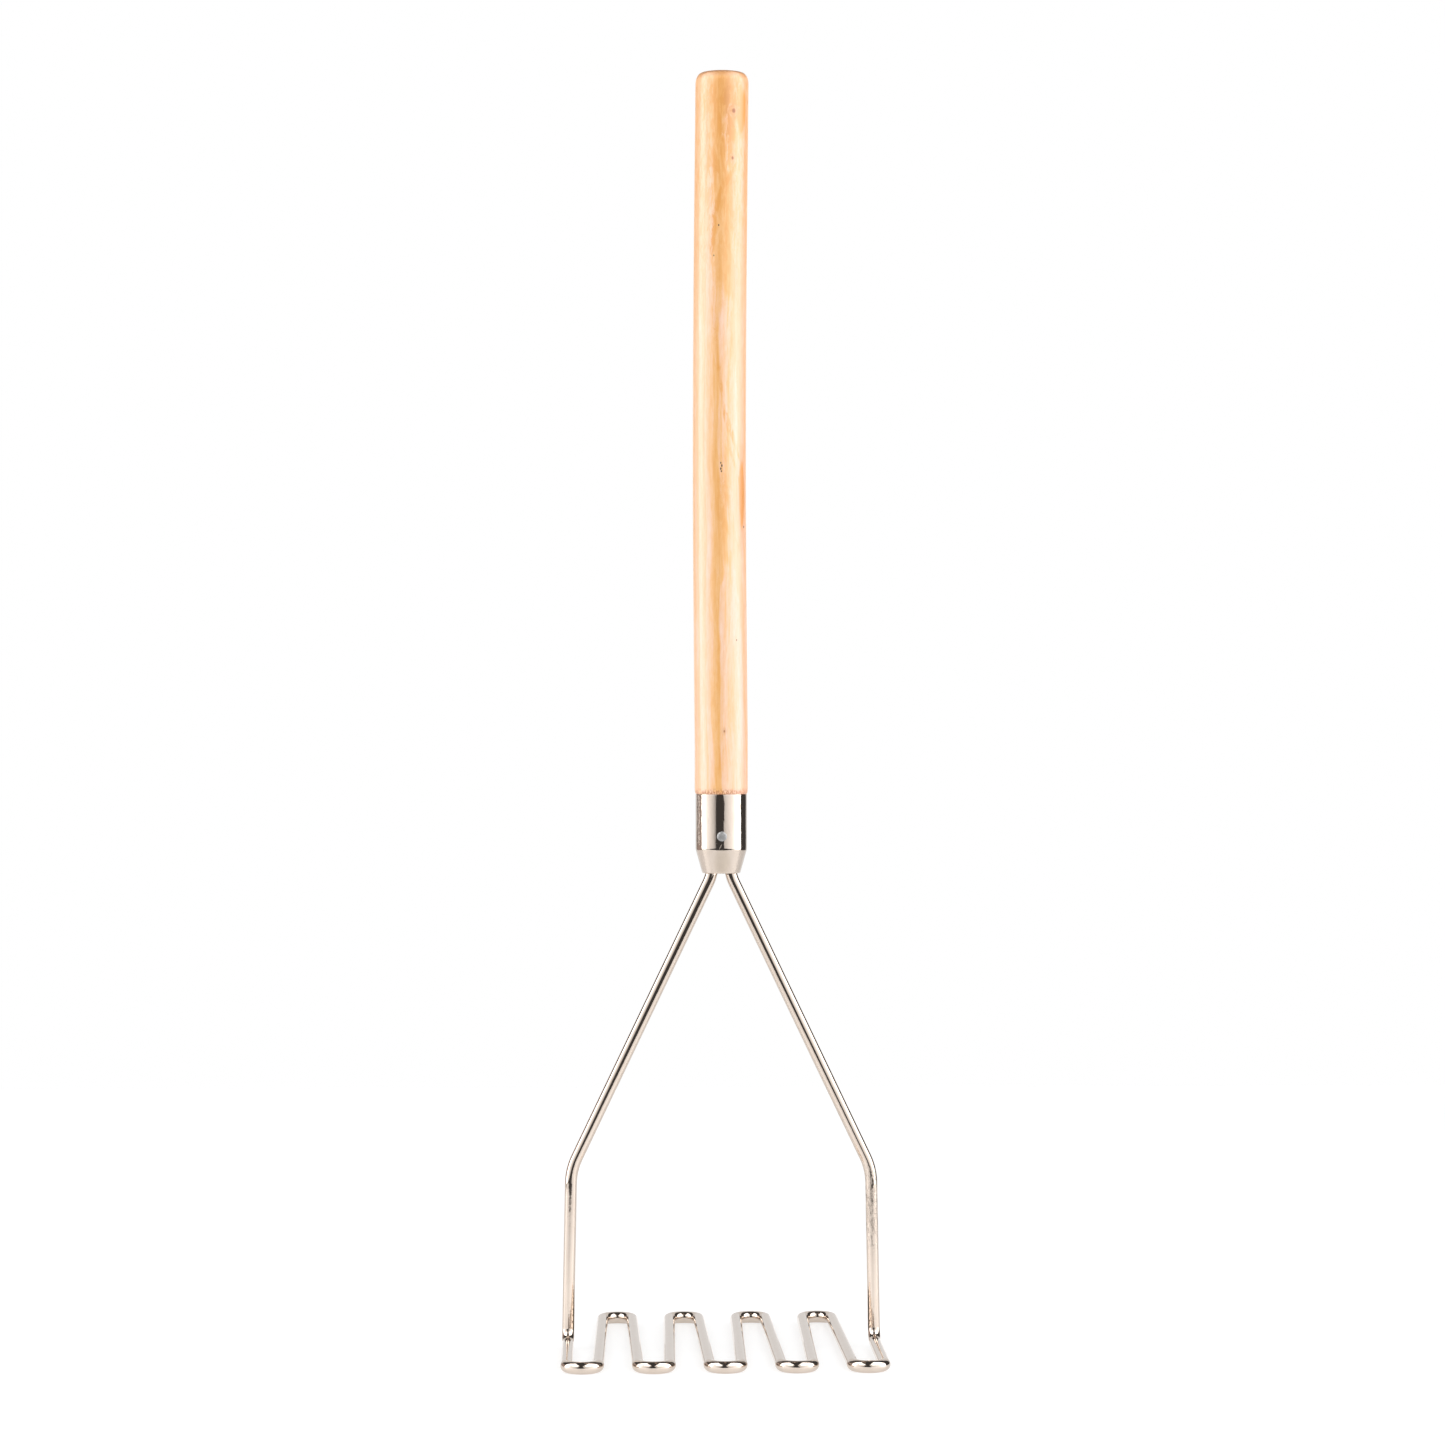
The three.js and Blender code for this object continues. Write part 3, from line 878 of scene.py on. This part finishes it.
def make_ferrule_nickel():
    g = Graph("drawn_nickel")
    place = g.millimetres()
    x, y, z = g.split(place)
    across = g.around(x, y, FERRULE_SURFACE_RADIUS)
    lines = g.noise(g.scaled(place, (2.6, 2.6, 0.05)), detail=4, roughness=0.65)
    smudge = g.noise(g.scaled(place, (0.22, 0.22, 0.16)), detail=4, roughness=0.6)
    peel = g.noise(g.scaled(place, (0.8, 0.8, 0.55)), detail=3, roughness=0.55)
    ripple = g.noise(g.scaled(place, (0.26, 0.26, 0.09)), detail=2)
    holes = g.cells(g.scaled(place, (1.5, 1.5, 0.9)))
    pits = g.mul(g.smooth(holes, 0.16, 0.05), g.smooth(smudge, 0.46, 0.6))
    scratch = g.spots(across, z, FERRULE_SCRATCHES)
    cone = g.smooth(z, *CONE_Z)
    # Painted reflection: the cone's front is darkened and browned where a dark band in front of the tool
    # would be reflected
    painted_reflection = g.mul(cone, g.spot(across, z, *FERRULE_PAINTED_REFLECTION))

    # Wear in an upright band at the left, above the cone
    worn = g.mul(g.smooth(across, -15.6, -14.2), g.smooth(across, -11.6, -12.8), g.smooth(z, 239.0, 242.0))
    wear = g.noise(g.scaled(place, (1.6, 1.6, 0.5)), detail=4, roughness=0.7)
    scuffs = g.mul(worn, g.smooth(wear, 0.47, 0.56))

    colour = g.mix(smudge, NICKEL, NICKEL_WARM)
    colour = g.mix(g.mul(painted_reflection, 0.5), colour, PAINTED_REFLECTION_BROWN)
    dulled = g.most(g.mul(pits, 0.75), g.mul(scratch, 0.35), g.mul(scuffs, 0.95))
    colour = g.mix(dulled, colour, NICKEL_DULL)
    roughness = g.total(0.03, (lines, 0.05), (smudge, 0.05), (cone, 0.05), (pits, 0.3), (scratch, 0.5),
                        (scuffs, 0.3))
    height = g.total((ripple, 1.6), (peel, 0.3), (lines, 0.035), (pits, -0.12), (scratch, -0.2),
                     (scuffs, -0.5))
    g.set(Base_Color=colour, Metallic=1.0, Roughness=roughness, Normal=g.bump(height, PLATING_RELIEF, 0.5))
    return g.material


def make_wire_nickel():
    g = Graph("wire_nickel")
    place = g.millimetres()
    x, _, z = g.split(place)
    along, side, other = g.split(g.attribute("wire_space"))
    draw_place = g.join(g.mul(along, 0.03), g.mul(side, 1.5), g.mul(other, 1.5))
    lines = g.noise(draw_place, detail=4, roughness=0.65)
    smudge = g.noise(g.scaled(place, (0.16, 0.16, 0.16)), detail=4, roughness=0.6)
    peel = g.noise(g.scaled(place, (0.7, 0.7, 0.7)), detail=3)
    ripple = g.noise(g.join(g.mul(along, 0.11), g.mul(side, 0.2), g.mul(other, 0.2)), detail=2)
    holes = g.cells(g.scaled(place, (1.1, 1.1, 1.1)))
    pits = g.mul(g.smooth(holes, 0.15, 0.05), g.smooth(smudge, 0.48, 0.62))

    # Wear on the right upright, up to the shoulder
    worn = g.mul(g.smooth(x, 60.0, 66.0), g.smooth(z, 44.0, 56.0), g.smooth(z, 90.0, 80.0))
    wear = g.noise(g.scaled(place, (1.3, 1.3, 0.34)), detail=4, roughness=0.7)
    scuffs = g.mul(worn, g.smooth(wear, 0.49, 0.58))

    colour = g.mix(smudge, NICKEL, NICKEL_WARM)
    colour = g.mix(g.most(g.mul(pits, 0.7), g.mul(scuffs, 0.55)), colour, NICKEL_DULL)
    roughness = g.total(0.02, (lines, 0.045), (smudge, 0.04), (pits, 0.3), (scuffs, 0.3))
    height = g.total((ripple, 0.7), (peel, 0.2), (lines, 0.04), (pits, -0.15), (scuffs, -0.5))
    g.set(Base_Color=colour, Metallic=1.0, Roughness=roughness, Normal=g.bump(height, PLATING_RELIEF, 0.5))
    return g.material


def make_rivet_steel():
    g = Graph("dull_steel")
    place = g.millimetres()
    grain = g.noise(g.scaled(place, (1.6, 1.6, 1.6)), detail=4, roughness=0.65)
    blotch = g.noise(g.scaled(place, (0.5, 0.5, 0.5)), detail=3)
    dents = g.smooth(g.cells(g.scaled(place, (0.9, 0.9, 0.9))), 0.3, 0.1)
    g.set(Base_Color=g.ramp(g.total((grain, 0.5), (blotch, 0.5)), RIVET_TONES), Metallic=1.0,
          Roughness=g.total(0.42, (grain, 0.25)),
          Normal=g.bump(g.total(grain, (dents, -0.5)), RIVET_RELIEF, 0.6))
    return g.material


bpy.context.scene.view_settings.view_transform = "Standard"
make_camera()
make_world()
make_floor()
make_panels()

make_handle(make_wood())
make_ferrule(make_ferrule_nickel())
make_wire(make_wire_nickel())
make_rivet(make_rivet_steel())
